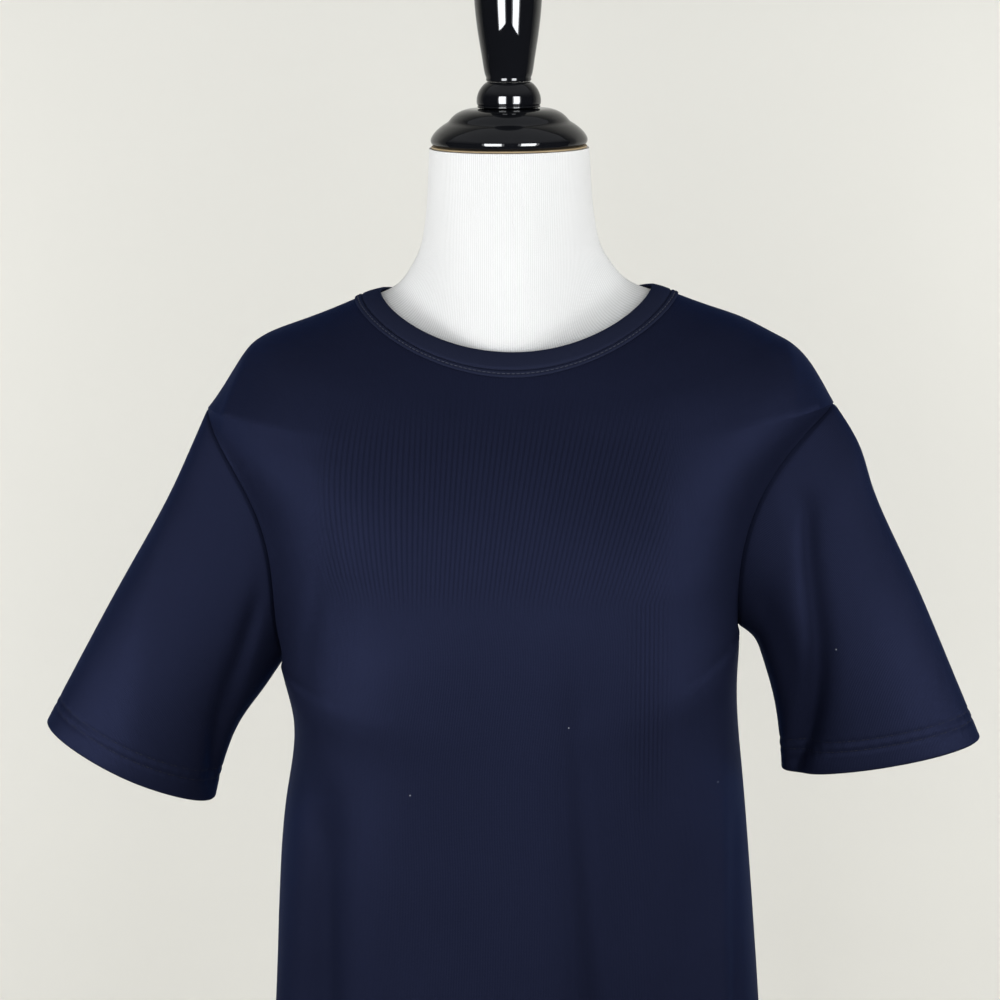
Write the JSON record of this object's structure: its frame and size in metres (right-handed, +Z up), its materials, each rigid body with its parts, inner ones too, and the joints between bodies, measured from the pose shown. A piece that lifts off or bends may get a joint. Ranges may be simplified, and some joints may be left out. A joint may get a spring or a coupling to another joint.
{
  "type": "pajama top on a limbless dress form",
  "caption": "Short-sleeved crew-neck pajama top in smooth thick knit, worn by a limbless dress form on a round stand.",
  "frame": {"origin": "middle of the flat underside of the stand's base", "axes": "+Z up, +X to the viewer's right, the front of the garment faces -Y"},
  "size_m": [0.6835, 0.33, 1.1334],
  "materials": {
    "knit": "matte double knit, deep navy",
    "rib_band": "matte rib, deep navy",
    "form_jersey": "fine ribbed jersey, white",
    "seat_edge": "satin tan edge",
    "gloss_black": "high-gloss black lacquer on turned wood",
    "stand_black": "satin black"
  },
  "bodies": {
    "root": {"front": "knit", "back": "knit", "sleeve_left": "knit", "sleeve_right": "knit", "neckband": "rib_band", "form_torso": "form_jersey", "cap_seat": "seat_edge", "neck_cap": "gloss_black", "finial_collar": "gloss_black", "finial": "gloss_black", "pole_plate": "stand_black", "pole": "stand_black", "pole_socket": "stand_black", "base": "stand_black"}
  },
  "joints": []
}
